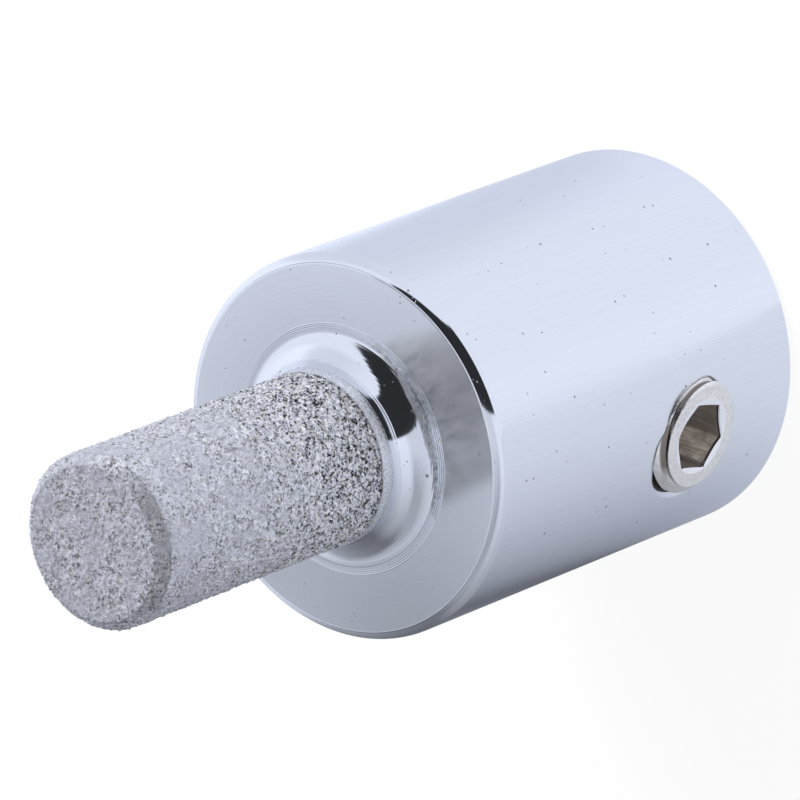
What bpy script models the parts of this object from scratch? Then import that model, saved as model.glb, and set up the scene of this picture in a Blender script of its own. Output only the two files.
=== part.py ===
"""Glass grinder bit: a plated, turned core with a thin grinding pin, the diamond grit bonded on the pin,
and the set screw that clamps the core to the grinder's shaft.

The bit stands on its back face. The origin is the centre of that face, +Z runs along the pin to its tip,
and the set screw faces -Y.
"""

import math

import bmesh
import bpy
from mathutils import Matrix

MM = 0.001

# Core, turned from one bar
BODY_DIAMETER = 15.0 * MM
BODY_LENGTH = 18.6 * MM
FRONT_EDGE_RADIUS = 0.52 * MM
FRONT_EDGE_WIDTH = 0.36 * MM
BACK_CHAMFER = 0.30 * MM

# Shaft bore, drilled from the back; the front wall is measured from the end of its straight side
BORE_DIAMETER = 8.0 * MM
BORE_MOUTH_CHAMFER = 0.40 * MM
FRONT_WALL = 4.0 * MM
DRILL_POINT_ANGLE = math.radians(118.0)

# Pin, over its grit, and the bare neck that the fillet runs up to
PIN_DIAMETER = 6.73 * MM
PIN_LENGTH = 14.6 * MM
TIP_CHAMFER = 0.42 * MM
NECK_LENGTH = 1.84 * MM
NECK_STEP = 0.03 * MM
FILLET_RADIUS = 1.20 * MM

# Turning steps, where the fillet's tool path runs out into the front face
STEP_COUNT = 4
STEP_WIDTH = 0.075 * MM
STEP_RISE = 0.020 * MM

# Grit layer, bonded on the pin with a thin bond line
GRIT_THICKNESS = 0.22 * MM
BOND_LINE = 0.01 * MM

# Set screw, with a coarse metric thread, and its clearance in the hole
SCREW_DIAMETER = 5.0 * MM
SCREW_LENGTH = 4.0 * MM
SCREW_PITCH = 0.8 * MM
SCREW_HEIGHT = 6.17 * MM
SCREW_STANDS_OUT = 0.15 * MM
SCREW_CLEARANCE = 0.05 * MM
SCREW_TURN = math.radians(-12.8)
FACE_BELOW_ROOT = 0.02 * MM

# Hexagon socket and cup point, with the metal left between their two cones
SOCKET_ACROSS_FLATS = 2.5 * MM
SOCKET_MOUTH_MARGIN = 0.17 * MM
SOCKET_MOUTH_ANGLE = math.radians(150.0)
SCREW_WEB = 0.45 * MM
SOCKET_POINT_ANGLE = math.radians(120.0)
CUP_DIAMETER = 2.5 * MM
CUP_ANGLE = math.radians(118.0)

# Smoothness of the round shapes
ROUND_SEGMENTS = 96
HOLE_SEGMENTS = 48
SCREW_SEGMENTS = 36
FILLET_SEGMENTS = 10
FRONT_EDGE_SEGMENTS = 5
SHARP_ANGLE = math.radians(20.0)
MERGE_DISTANCE = 0.0001 * MM
CUTTER_MARGIN = 1.0 * MM
BLANK_MARGIN = 0.1 * MM

BODY_RADIUS = BODY_DIAMETER / 2
BORE_RADIUS = BORE_DIAMETER / 2
BORE_DEPTH = BODY_LENGTH - FRONT_WALL
PIN_RADIUS = PIN_DIAMETER / 2
NECK_RADIUS = PIN_RADIUS + NECK_STEP
SHOULDER_Z = BODY_LENGTH + NECK_LENGTH
TIP_Z = BODY_LENGTH + PIN_LENGTH
SCREW_RADIUS = SCREW_DIAMETER / 2
THREAD_DEPTH = 0.625 * math.cos(math.radians(30.0)) * SCREW_PITCH
THREAD_ROOT_RADIUS = SCREW_RADIUS - THREAD_DEPTH
SOCKET_CORNER_RADIUS = SOCKET_ACROSS_FLATS / math.sqrt(3.0)
CUP_RADIUS = CUP_DIAMETER / 2


def clear_scene():
    for old in list(bpy.data.objects):
        bpy.data.objects.remove(old, do_unlink=True)


def make_material(name, colour, roughness, metallic):
    material = bpy.data.materials.new(name)
    material.use_nodes = True
    shader = material.node_tree.nodes["Principled BSDF"]
    shader.inputs["Base Color"].default_value = (*colour, 1.0)
    shader.inputs["Roughness"].default_value = roughness
    shader.inputs["Metallic"].default_value = metallic
    return material


def bright_plating():
    return make_material("bright_plating", (0.80, 0.82, 0.86), 0.18, 1.0)


def bonded_grit():
    return make_material("bonded_grit", (0.60, 0.60, 0.61), 0.75, 0.3)


def screw_steel():
    return make_material("screw_steel", (0.72, 0.69, 0.64), 0.25, 1.0)


def make_object(name, mesh, material=None):
    thing = bpy.data.objects.new(name, mesh)
    bpy.context.scene.collection.objects.link(thing)
    if material:
        mesh.materials.append(material)
    return thing


def make_cutter(name, mesh):
    cutter = make_object(name, mesh)
    cutter.hide_render = True
    cutter.display_type = "WIRE"
    return cutter


def add_boolean(thing, cutter, operation):
    boolean = thing.modifiers.new(cutter.name, "BOOLEAN")
    boolean.operation = operation
    boolean.solver = "EXACT"
    boolean.object = cutter


def turned_mesh(name, profile, segments):
    """Revolves a profile of (radius, height) points round Z. The points run from the axis at the top,
    down the outer side and back to the axis."""
    mesh = bpy.data.meshes.new(name)
    bm = bmesh.new()
    points = [bm.verts.new((radius, 0.0, height)) for radius, height in profile]
    edges = [bm.edges.new(pair) for pair in zip(points, points[1:])]
    bmesh.ops.spin(
        bm,
        geom=points + edges,
        cent=(0.0, 0.0, 0.0),
        axis=(0.0, 0.0, 1.0),
        angle=2 * math.pi,
        steps=segments,
        use_merge=True,
    )
    bmesh.ops.remove_doubles(bm, verts=bm.verts, dist=MERGE_DISTANCE)
    bmesh.ops.recalc_face_normals(bm, faces=bm.faces)
    bm.to_mesh(mesh)
    bm.free()
    mesh.shade_smooth()
    mesh.set_sharp_from_angle(angle=SHARP_ANGLE)
    return mesh


def cone_height(radius, point_angle):
    """The height of a drilled or pressed cone whose full angle is point_angle."""
    return radius / math.tan(point_angle / 2)


def socket_depth():
    """The depth of the socket's flat sides, which leaves the web between its cone and the cup's."""
    cones = cone_height(SOCKET_CORNER_RADIUS, SOCKET_POINT_ANGLE) + cone_height(CUP_RADIUS, CUP_ANGLE)
    return SCREW_LENGTH - SCREW_WEB - cones


def pin_under_grit_profile():
    """The tip and side of the pin, which the grit layer covers."""
    inset = GRIT_THICKNESS + BOND_LINE
    radius = PIN_RADIUS - inset
    top = TIP_Z - inset
    return [
        (0.0, top),
        (radius - TIP_CHAMFER, top),
        (radius, top - TIP_CHAMFER),
        (radius, SHOULDER_Z - BOND_LINE),
        (NECK_RADIUS, SHOULDER_Z - BOND_LINE),
    ]


def fillet_profile():
    """A quarter circle from the neck down to the first turning step."""
    centre_radius = NECK_RADIUS + FILLET_RADIUS
    centre_z = BODY_LENGTH + STEP_COUNT * STEP_RISE + FILLET_RADIUS
    angles = [math.radians(90.0) * i / FILLET_SEGMENTS for i in range(FILLET_SEGMENTS + 1)]
    return [
        (centre_radius - FILLET_RADIUS * math.cos(angle), centre_z - FILLET_RADIUS * math.sin(angle))
        for angle in angles
    ]


def turning_steps_profile():
    """Low terraces that step outwards and down from the fillet to the front face."""
    points = []
    radius = NECK_RADIUS + FILLET_RADIUS
    height = BODY_LENGTH + STEP_COUNT * STEP_RISE
    for _ in range(STEP_COUNT):
        radius += STEP_WIDTH
        points.append((radius, height))
        height -= STEP_RISE
        points.append((radius, height))
    return points


def front_edge_profile():
    """The rounded front edge, an arc that meets the front face at a slight angle and runs into the side."""
    centre_radius = BODY_RADIUS - FRONT_EDGE_RADIUS
    start = math.acos(1.0 - FRONT_EDGE_WIDTH / FRONT_EDGE_RADIUS)
    centre_z = BODY_LENGTH - FRONT_EDGE_RADIUS * math.sin(start)
    angles = [start * (1.0 - i / FRONT_EDGE_SEGMENTS) for i in range(FRONT_EDGE_SEGMENTS + 1)]
    return [
        (centre_radius + FRONT_EDGE_RADIUS * math.cos(angle), centre_z + FRONT_EDGE_RADIUS * math.sin(angle))
        for angle in angles
    ]


def body_back_profile():
    """The end of the round side, the back chamfer and the back face."""
    return [
        (BODY_RADIUS, BACK_CHAMFER),
        (BODY_RADIUS - BACK_CHAMFER, 0.0),
    ]


def bore_profile():
    """The blind shaft bore, from its chamfered mouth to the drill's cone."""
    return [
        (BORE_RADIUS + BORE_MOUTH_CHAMFER, 0.0),
        (BORE_RADIUS, BORE_MOUTH_CHAMFER),
        (BORE_RADIUS, BORE_DEPTH),
        (0.0, BORE_DEPTH + cone_height(BORE_RADIUS, DRILL_POINT_ANGLE)),
    ]


def screw_placement():
    """Turns a screw-frame shape, whose +Z runs out of the hole, so that it lies radially and faces -Y."""
    place = Matrix.Translation((0.0, 0.0, SCREW_HEIGHT))
    return place @ Matrix.Rotation(math.radians(90.0), 4, "X")


def make_bit_core():
    profile = pin_under_grit_profile() + fillet_profile() + turning_steps_profile()
    profile += front_edge_profile() + body_back_profile() + bore_profile()
    mesh = turned_mesh("bit_core", profile, ROUND_SEGMENTS)
    core = make_object("bit_core", mesh, bright_plating())

    inner_end = BORE_RADIUS / 2
    outer_end = BODY_RADIUS + CUTTER_MARGIN
    radius = SCREW_RADIUS + SCREW_CLEARANCE
    hole = [(0.0, outer_end), (radius, outer_end), (radius, inner_end), (0.0, inner_end)]
    cutter = make_cutter("screw_hole_cutter", turned_mesh("screw_hole_cutter", hole, HOLE_SEGMENTS))
    cutter.matrix_world = screw_placement()
    add_boolean(core, cutter, "DIFFERENCE")
    return core


def make_diamond_coating():
    """A cup of bonded grit: over the tip, down to the neck's shoulder, and back up beside the pin."""
    inner_radius = PIN_RADIUS - GRIT_THICKNESS
    inner_top = TIP_Z - GRIT_THICKNESS
    profile = [
        (0.0, TIP_Z),
        (PIN_RADIUS - TIP_CHAMFER, TIP_Z),
        (PIN_RADIUS, TIP_Z - TIP_CHAMFER),
        (PIN_RADIUS, SHOULDER_Z),
        (inner_radius, SHOULDER_Z),
        (inner_radius, inner_top - TIP_CHAMFER),
        (inner_radius - TIP_CHAMFER, inner_top),
        (0.0, inner_top),
    ]
    mesh = turned_mesh("diamond_coating", profile, ROUND_SEGMENTS)
    return make_object("diamond_coating", mesh, bonded_grit())


def thread_profile():
    """One pitch of the thread, as (radius, rise) points that end one pitch above the first."""
    crest = SCREW_PITCH / 8
    root = SCREW_PITCH / 4
    flank = (SCREW_PITCH - crest - root) / 2
    return [
        (THREAD_ROOT_RADIUS, 0.0),
        (THREAD_ROOT_RADIUS, root),
        (SCREW_RADIUS, root + flank),
        (SCREW_RADIUS, root + flank + crest),
        (THREAD_ROOT_RADIUS, SCREW_PITCH),
    ]


def threaded_rod_mesh(name, bottom, top):
    """A right-hand threaded rod along Z that reaches past bottom and top. Each row of its wall climbs one
    pitch in a turn, so a row ends where the row one pitch higher starts."""
    profile = thread_profile()
    turns = math.ceil((top - bottom) / SCREW_PITCH) + 2
    first = bottom - SCREW_PITCH * 1.5
    rows = [(radius, turn * SCREW_PITCH + rise) for turn in range(turns) for radius, rise in profile[:-1]]
    rows.append((THREAD_ROOT_RADIUS, turns * SCREW_PITCH))
    per_turn = len(profile) - 1

    bm = bmesh.new()
    grid = []
    for radius, rise in rows:
        row = []
        for i in range(SCREW_SEGMENTS):
            angle = 2 * math.pi * i / SCREW_SEGMENTS
            height = first + rise + SCREW_PITCH * i / SCREW_SEGMENTS
            row.append(bm.verts.new((radius * math.cos(angle), radius * math.sin(angle), height)))
        grid.append(row)
    for low in range(len(rows) - 1):
        for i in range(SCREW_SEGMENTS - 1):
            bm.faces.new((grid[low][i], grid[low][i + 1], grid[low + 1][i + 1], grid[low + 1][i]))
    last = SCREW_SEGMENTS - 1
    for low in range(len(rows) - per_turn - 1):
        high = low + per_turn
        bm.faces.new((grid[low][last], grid[high][0], grid[high + 1][0], grid[low + 1][last]))

    # The ends: a fan from the axis to the climbing edge, and the riser where a turn closes
    low_apex = bm.verts.new((0.0, 0.0, first))
    high_apex = bm.verts.new((0.0, 0.0, first + (turns + 1) * SCREW_PITCH))
    for i in range(last):
        bm.faces.new((low_apex, grid[0][i + 1], grid[0][i]))
        bm.faces.new((high_apex, grid[-1][i], grid[-1][i + 1]))
    bm.faces.new((low_apex, grid[per_turn][0], grid[0][last]))
    bm.faces.new([low_apex] + [grid[k][0] for k in range(per_turn + 1)])
    bm.faces.new([high_apex] + [grid[k][last] for k in range(len(rows) - 1, len(rows) - per_turn - 2, -1)])
    bm.faces.new((high_apex, grid[-1 - per_turn][last], grid[-1][0]))
    bmesh.ops.recalc_face_normals(bm, faces=bm.faces)
    mesh = bpy.data.meshes.new(name)
    bm.to_mesh(mesh)
    bm.free()
    return mesh


def screw_blank_profile():
    """The turned blank of the screw, face at the top and cup point below, wide enough to keep the crests."""
    wide = SCREW_RADIUS + BLANK_MARGIN
    face_radius = THREAD_ROOT_RADIUS - FACE_BELOW_ROOT
    return [
        (0.0, 0.0),
        (face_radius, 0.0),
        (wide, face_radius - wide),
        (wide, wide - CUP_RADIUS - SCREW_LENGTH),
        (CUP_RADIUS, -SCREW_LENGTH),
        (0.0, cone_height(CUP_RADIUS, CUP_ANGLE) - SCREW_LENGTH),
    ]


def socket_mesh(name):
    """The hexagon socket with its pointed bottom, reaching out past the screw's face."""
    bm = bmesh.new()
    corners = []
    bottom = -socket_depth()
    for height in (CUTTER_MARGIN, bottom):
        ring = []
        for i in range(6):
            angle = SCREW_TURN + math.radians(90.0) + math.pi * i / 3
            x = SOCKET_CORNER_RADIUS * math.cos(angle)
            y = SOCKET_CORNER_RADIUS * math.sin(angle)
            ring.append(bm.verts.new((x, y, height)))
        corners.append(ring)
    apex = bm.verts.new((0.0, 0.0, bottom - cone_height(SOCKET_CORNER_RADIUS, SOCKET_POINT_ANGLE)))
    bm.faces.new(corners[0])
    for i in range(6):
        j = (i + 1) % 6
        bm.faces.new((corners[0][i], corners[1][i], corners[1][j], corners[0][j]))
        bm.faces.new((corners[1][i], apex, corners[1][j]))
    bmesh.ops.recalc_face_normals(bm, faces=bm.faces)
    mesh = bpy.data.meshes.new(name)
    bm.to_mesh(mesh)
    bm.free()
    return mesh


def socket_mouth_profile():
    """The countersink at the socket's mouth, a shallow cone that meets the face in a circle."""
    mouth_radius = SOCKET_CORNER_RADIUS + SOCKET_MOUTH_MARGIN
    wide = mouth_radius + CUTTER_MARGIN
    depth = cone_height(mouth_radius, SOCKET_MOUTH_ANGLE)
    return [
        (0.0, CUTTER_MARGIN),
        (wide, CUTTER_MARGIN),
        (wide, cone_height(wide, SOCKET_MOUTH_ANGLE) - depth),
        (0.0, -depth),
    ]


def make_set_screw():
    """The screw, whose origin is the centre of its face. The blank trims the threaded rod to its ends,
    and the socket and its mouth are cut from the face."""
    screw = make_object("set_screw", threaded_rod_mesh("set_screw", -SCREW_LENGTH, 0.0), screw_steel())
    face = Matrix.Translation((0.0, 0.0, BODY_RADIUS + SCREW_STANDS_OUT))
    screw.matrix_world = screw_placement() @ face
    steps = [
        (turned_mesh("screw_blank", screw_blank_profile(), SCREW_SEGMENTS), "INTERSECT"),
        (socket_mesh("socket_cutter"), "DIFFERENCE"),
        (turned_mesh("mouth_cutter", socket_mouth_profile(), SCREW_SEGMENTS), "DIFFERENCE"),
    ]
    for mesh, operation in steps:
        cutter = make_cutter(mesh.name, mesh)
        cutter.matrix_world = screw.matrix_world
        add_boolean(screw, cutter, operation)
    return screw


def main():
    clear_scene()
    make_bit_core()
    make_diamond_coating()
    make_set_screw()


main()
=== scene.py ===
"""Looks of the glass grinder bit: the plated core, the grit on its pin and the set screw, on a pale floor.

Lengths are in millimetres until a mesh is made, and in metres in the scene.
"""

import math
import random

import bpy
import numpy as np
from mathutils import Matrix, Vector
from mathutils.kdtree import KDTree


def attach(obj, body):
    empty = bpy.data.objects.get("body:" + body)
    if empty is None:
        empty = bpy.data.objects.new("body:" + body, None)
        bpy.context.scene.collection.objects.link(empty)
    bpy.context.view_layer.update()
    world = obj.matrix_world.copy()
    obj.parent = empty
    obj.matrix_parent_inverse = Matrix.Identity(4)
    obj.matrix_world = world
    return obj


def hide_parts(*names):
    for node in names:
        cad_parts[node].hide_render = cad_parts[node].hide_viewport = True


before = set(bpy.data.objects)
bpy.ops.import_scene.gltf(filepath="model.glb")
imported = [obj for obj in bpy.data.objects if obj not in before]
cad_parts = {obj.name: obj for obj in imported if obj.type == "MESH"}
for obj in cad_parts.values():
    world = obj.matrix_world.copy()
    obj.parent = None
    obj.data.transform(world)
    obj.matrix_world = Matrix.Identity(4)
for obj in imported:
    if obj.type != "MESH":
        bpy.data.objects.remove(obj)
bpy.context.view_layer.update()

MM = 0.001

# The bit's main sizes
BODY_RADIUS = 7.5
BODY_LENGTH = 18.6
FRONT_EDGE_WIDTH = 0.36
FRONT_EDGE_DEPTH = 0.49
FRONT_EDGE_RADIUS = 0.52
BACK_CHAMFER = 0.30
DRILL_SLOPE = math.tan(math.radians(59))
BORE_RADIUS = 4.0
BORE_MOUTH_CHAMFER = 0.40
BORE_DEPTH = 14.6
BORE_CONE = BORE_RADIUS / DRILL_SLOPE
PIN_RADIUS = 3.365
NECK_RADIUS = 3.395
TIP_Z = 33.2
TIP_CHAMFER = 0.42
SHOULDER_Z = 20.44
FILLET_RADIUS = 1.20
STEP_COUNT = 4
STEP_WIDTH = 0.075
STEP_RISE = 0.020
GRIT_THICKNESS = 0.22
BOND_LINE = 0.01
EDGE_ROUND = 0.045
# Where long plain walls end and rows of small bands begin, this far from an edge
MARGIN = 0.3

# The set screw and its hole
SCREW_HEIGHT = 6.17
SCREW_FACE = 7.65
SCREW_LENGTH = 4.0
SCREW_RADIUS = 2.5
PITCH = 0.8
THREAD_DEPTH = 0.445
CREST_HALF = 0.05
FACE_RADIUS = 2.047
CUP_RADIUS = 1.25
CUP_DEPTH = CUP_RADIUS / DRILL_SLOPE
SOCKET_APOTHEM = 1.25
SOCKET_CORNER = SOCKET_APOTHEM / math.cos(math.radians(30))
MOUTH_RADIUS = SOCKET_CORNER + 0.08
MOUTH_SLOPE = math.tan(math.radians(15))
SOCKET_DEPTH = 1.966
SOCKET_SHIFT = -0.05
SOCKET_CONE = SOCKET_CORNER / math.tan(math.radians(60))
SCREW_TURN = -12.8
THREAD_PHASE = 0.13
THREAD_CLEARANCE = 0.03
TAPPED_RADIUS = 2.12
RIM_REACH = 0.13

# The hole's rim as (angle round the screw, radius): the thread's run-out leaves it wider on one side
RIM = [
    (-72, 2.25), (-57, 2.17), (-42, 2.14), (-29, 2.18), (-19, 2.24), (-7, 2.22), (5, 2.16), (20, 2.14), (37, 2.14),
    (49, 2.16), (61, 2.22), (74, 2.32), (81, 2.55), (87, 2.73), (94, 2.86), (102, 2.93), (110, 2.94), (120, 2.90),
    (131, 2.80), (144, 2.72), (158, 2.68), (170, 2.66), (182, 2.63), (196, 2.62), (210, 2.58), (224, 2.46),
    (242, 2.34), (262, 2.29),
]

# The front face is crowned: its slope at its inner and outer ends
CROWN_SLOPES = (0.02, 0.045)
# Marks of the turning tool, with slopes in degrees: grooves on the neck, facets on the fillet, of which the
# first few belong to the neck, uneven treads on the steps, and rings on the front face
GROOVES = 7
GROOVE_SLOPES = (6, 15)
FACETS = 42
FACET_PLAY = 0.0016
NECK_FACETS = 2
RISER_SLOPE = 66.0
TREAD_TILT = 5.0
FEED_RINGS = 42
FEED_TILT = 0.3
# The front edge's thin line, the lip under it as (out, down) with its normals, and the flat beside the lip
EDGE_LINE = 0.05
EDGE_LIP = (0.03, 0.032)
EDGE_LIP_ANGLES = (25.0, 18.0)
EDGE_TREAD = 0.09

COLUMNS = 288
ANGLES = np.radians(-90.0 + 360.0 * np.arange(COLUMNS) / COLUMNS)


def ring(radius, height, around=ANGLES):
    """Points round the axis. A radius of cos a and a height of sin a give their normals."""
    return np.stack([radius * np.cos(around), radius * np.sin(around), np.full(len(around), height)], 1)


def add_object(name, data):
    thing = bpy.data.objects.new(name, data)
    bpy.context.scene.collection.objects.link(thing)
    return thing


# -------- meshes
class Surface:
    """Gathers the points, faces and corner normals of one mesh."""

    def __init__(self):
        self.points = []
        self.faces = []
        self.normals = []
        self.finishes = []

    def add_points(self, points):
        first = len(self.points)
        self.points.extend(tuple(p) for p in points)
        return list(range(first, len(self.points)))

    def add_face(self, corners, normals, finish):
        self.faces.append(tuple(corners))
        self.normals.append([tuple(n) for n in normals])
        self.finishes.append(finish)

    def make(self, name, materials):
        points = np.array(self.points)
        faces, normals = [], []
        for face, around in zip(self.faces, self.normals):
            loop = points[list(face)]
            area = np.cross(loop - loop[0], np.roll(loop, -1, 0) - loop[0]).sum(axis=0)
            if np.dot(area, np.sum(around, axis=0)) < 0:
                face, around = face[::-1], around[::-1]
            faces.append(face)
            normals.extend(around)
        mesh = bpy.data.meshes.new(name)
        mesh.from_pydata((points * MM).tolist(), [], faces)
        for material in materials:
            mesh.materials.append(material)
        mesh.polygons.foreach_set("material_index", self.finishes)
        mesh.shade_smooth()
        mesh.normals_split_custom_set(normals)
        return add_object(name, mesh)


def unit(vectors):
    vectors = np.asarray(vectors, float)
    return vectors / np.maximum(np.linalg.norm(vectors, axis=-1, keepdims=True), 1e-12)


class Profile:
    """A turned outline in (radius, height). A band runs between two points, each with its normal's angle."""

    def __init__(self, radius, height):
        self.end = (radius, height)
        self.bands = []

    def band(self, point, angle_before, angle_after, finish):
        self.bands.append((self.end, angle_before, point, angle_after, finish))
        self.end = point

    def line(self, radius, height, finish):
        dr, dz = radius - self.end[0], height - self.end[1]
        angle = math.atan2(dr, -dz)
        self.band((radius, height), angle, angle, finish)

    def path(self, points, finish, rounding=EDGE_ROUND, steps=4):
        """Straight bands through the points, with every corner between them rounded."""
        chain = [np.array(self.end)] + [np.array(p, float) for p in points]
        for i in range(1, len(chain) - 1):
            before = unit(chain[i] - chain[i - 1])
            after = unit(chain[i + 1] - chain[i])
            turn = math.atan2(before[0] * after[1] - before[1] * after[0], before @ after)
            reach = rounding * math.tan(abs(turn) / 2)
            side = -1.0 if turn < 0 else 1.0
            start = chain[i] - before * reach
            normal = np.array([-before[1], before[0]])
            centre = start + side * rounding * normal
            first = math.atan2(normal[1], normal[0])
            self.line(*start, finish)
            for k in range(steps):
                a, b = first + turn * k / steps, first + turn * (k + 1) / steps
                point = centre - side * rounding * np.array([math.cos(b), math.sin(b)])
                self.band(tuple(point), a, b, finish)
        self.line(*chain[-1], finish)


def turned(surface, profile, first_row=None):
    """Revolves a profile and returns its last row of points, which is one point where it ends on the axis."""

    def row(point):
        if point[0] < 1e-9:
            return surface.add_points([(0.0, 0.0, point[1])]) * COLUMNS
        return surface.add_points(ring(*point))

    low = first_row or row(profile.bands[0][0])
    for start, angle_a, end, angle_b, finish in profile.bands:
        high = row(end)
        normals_a, normals_b = (ring(math.cos(a), math.sin(a)) for a in (angle_a, angle_b))
        for i in range(COLUMNS):
            j = (i + 1) % COLUMNS
            corners = [low[i], low[j], high[j], high[i]]
            around = [normals_a[i], normals_a[j], normals_b[j], normals_b[i]]
            if low[i] == low[j]:
                corners, around = [corners[0]] + corners[2:], [around[0]] + around[2:]
            elif high[i] == high[j]:
                corners, around = corners[:3], around[:3]
            surface.add_face(corners, around, finish)
        low = high
    return low


def grid_normals(points, row, way):
    """The normals of a grid whose rows are closed. At the start of the given row they point the given way."""
    across = np.roll(points, -1, 1) - np.roll(points, 1, 1)
    normals = unit(np.cross(across, np.gradient(points, axis=0)))
    return -normals if np.dot(normals[row][0], way) < 0 else normals


def add_grid(surface, rows, normals, finish):
    """Quads between rows of point indices, each row closed."""
    for k in range(len(rows) - 1):
        n = len(rows[k])
        for i in range(n):
            j = (i + 1) % n
            surface.add_face(
                [rows[k][i], rows[k][j], rows[k + 1][j], rows[k + 1][i]],
                [normals[k][i], normals[k][j], normals[k + 1][j], normals[k + 1][i]],
                finish,
            )


def add_fan(surface, apex, row, normals, finish):
    tip = surface.add_points([apex])[0]
    for i in range(len(row)):
        j = (i + 1) % len(row)
        surface.add_face([tip, row[i], row[j]], [unit(normals[i] + normals[j]), normals[i], normals[j]], finish)


# -------- thread
def larger(first, second, blend):
    """The larger of two lengths, with the corner between them rounded."""
    return blend * np.logaddexp(first / blend, second / blend)


def smaller(first, second, blend):
    return -larger(-first, -second, blend)


def thread_radius(theta, height):
    """The radius of the right-hand thread at an angle and a height over the screw's face."""
    turns = (height - THREAD_PHASE) / PITCH - theta / (2 * math.pi)
    from_crest = np.abs(turns - np.round(turns)) * PITCH
    flank = SCREW_RADIUS - (from_crest - CREST_HALF) / math.tan(math.radians(30))
    root = SCREW_RADIUS - THREAD_DEPTH
    return larger(np.full_like(flank, root), smaller(flank, np.full_like(flank, SCREW_RADIUS), 0.006), 0.02)


def tapped_radius(theta, height):
    """The radius of the hole that the thread runs in."""
    return np.maximum(thread_radius(theta, height + THREAD_CLEARANCE) + THREAD_CLEARANCE, TAPPED_RADIUS)


def rim_radius(theta):
    angles, radii = zip(*RIM)
    return np.interp(np.degrees(theta), angles, radii, period=360)


# -------- core
SIDE, TURNED, FILLET, BORE, NECK, TAPPED = range(6)


def window_loop(surface, upper, lower, radius, outward, half_columns, half_height, rows, finish):
    """The wall of a cylinder between two rows, with a rectangular window round the screw's hole. Returns the
    window's border: its point indices, and their places across and up the wall."""
    z_high, z_low = SCREW_HEIGHT + half_height, SCREW_HEIGHT - half_height

    def normal(i):
        return (outward * math.cos(ANGLES[i]), outward * math.sin(ANGLES[i]), 0.0)

    high, low = surface.add_points(ring(radius, z_high)), surface.add_points(ring(radius, z_low))
    side_heights = np.linspace(z_low, z_high, rows + 1)[1:-1]
    sides = {}
    for column in (half_columns, COLUMNS - half_columns):
        x, y = radius * math.cos(ANGLES[column]), radius * math.sin(ANGLES[column])
        sides[column] = surface.add_points([(x, y, z) for z in side_heights])

    for i in range(COLUMNS):
        j = (i + 1) % COLUMNS
        for a, b in ((upper, high), (low, lower)):
            surface.add_face([a[i], a[j], b[j], b[i]], [normal(i), normal(j), normal(j), normal(i)], finish)
        if i < half_columns or i >= COLUMNS - half_columns:
            continue
        corners = [high[i], high[j]] + list(reversed(sides.get(j, []))) + [low[j], low[i]] + sides.get(i, [])
        around = [normal(i), normal(j)] + [normal(j)] * len(sides.get(j, [])) + [normal(j), normal(i)]
        around += [normal(i)] * len(sides.get(i, []))
        surface.add_face(corners, around, finish)

    top = [(i % COLUMNS) for i in range(half_columns, -half_columns - 1, -1)]
    border = [low[half_columns]] + sides[half_columns]
    border += [high[i] for i in top] + list(reversed(sides[COLUMNS - half_columns]))
    border += [low[i] for i in reversed(top)][:-1]
    places = np.array([surface.points[i] for i in border])
    return border, places[:, 0], places[:, 2] - SCREW_HEIGHT


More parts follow.
